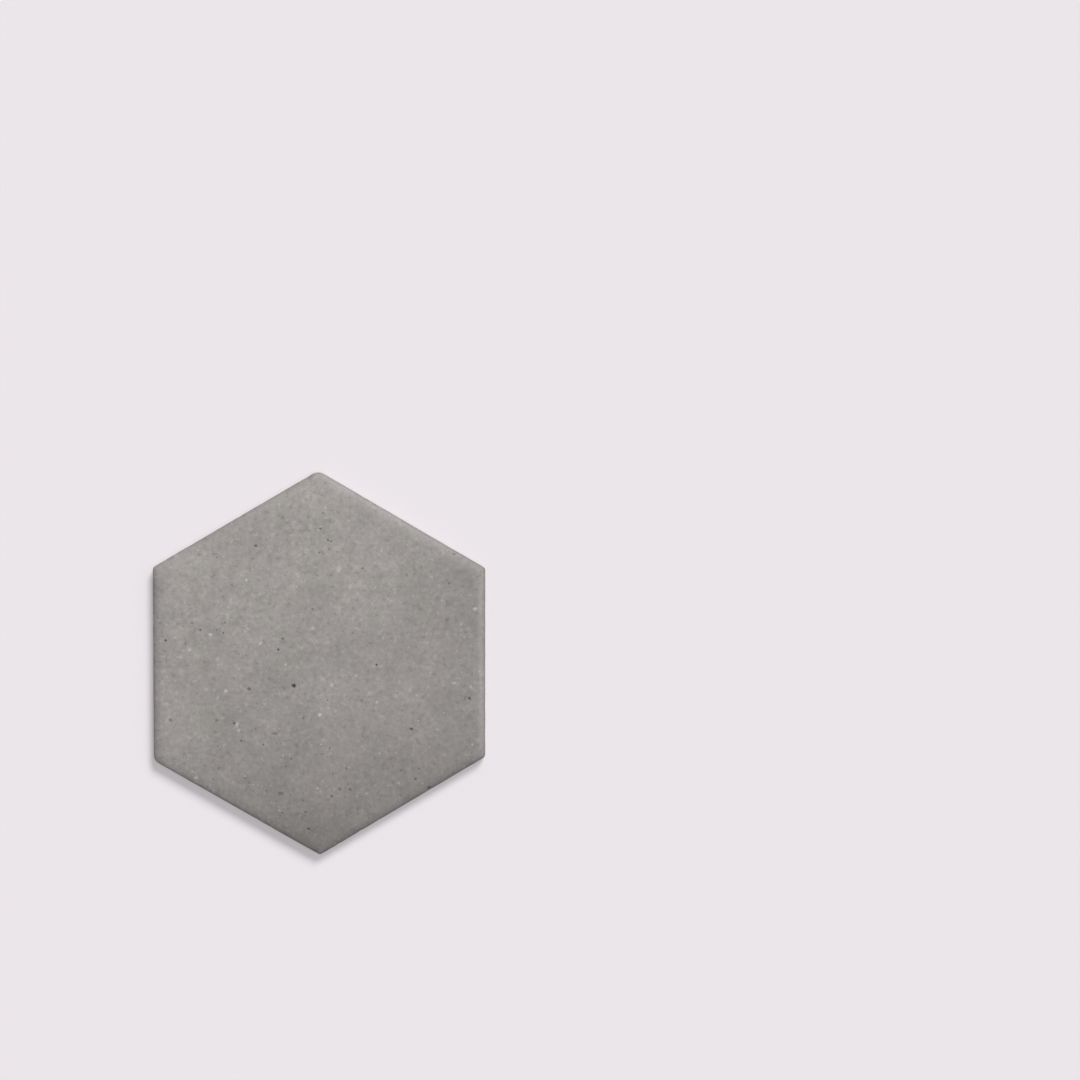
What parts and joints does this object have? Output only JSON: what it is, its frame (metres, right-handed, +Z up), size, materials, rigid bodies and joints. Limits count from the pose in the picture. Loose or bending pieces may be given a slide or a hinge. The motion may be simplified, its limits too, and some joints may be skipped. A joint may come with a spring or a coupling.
{
  "type": "hexagon floor tile",
  "caption": "Unglazed hexagonal floor tile of fired clay, with a rolled upper edge, rounded corners and key grooves across its back.",
  "frame": {"origin": "centre of the back, on its bearing face", "axes": "+Z up through the face that is walked on; +X out through the middle of one flat side; +Y through the corner between two sides, along the key grooves of the back"},
  "size_m": [0.2, 0.2302, 0.009],
  "materials": {
    "fired_clay": "matt, unglazed, finely grained"
  },
  "bodies": {
    "root": {"tile_body": "fired_clay"}
  },
  "joints": []
}
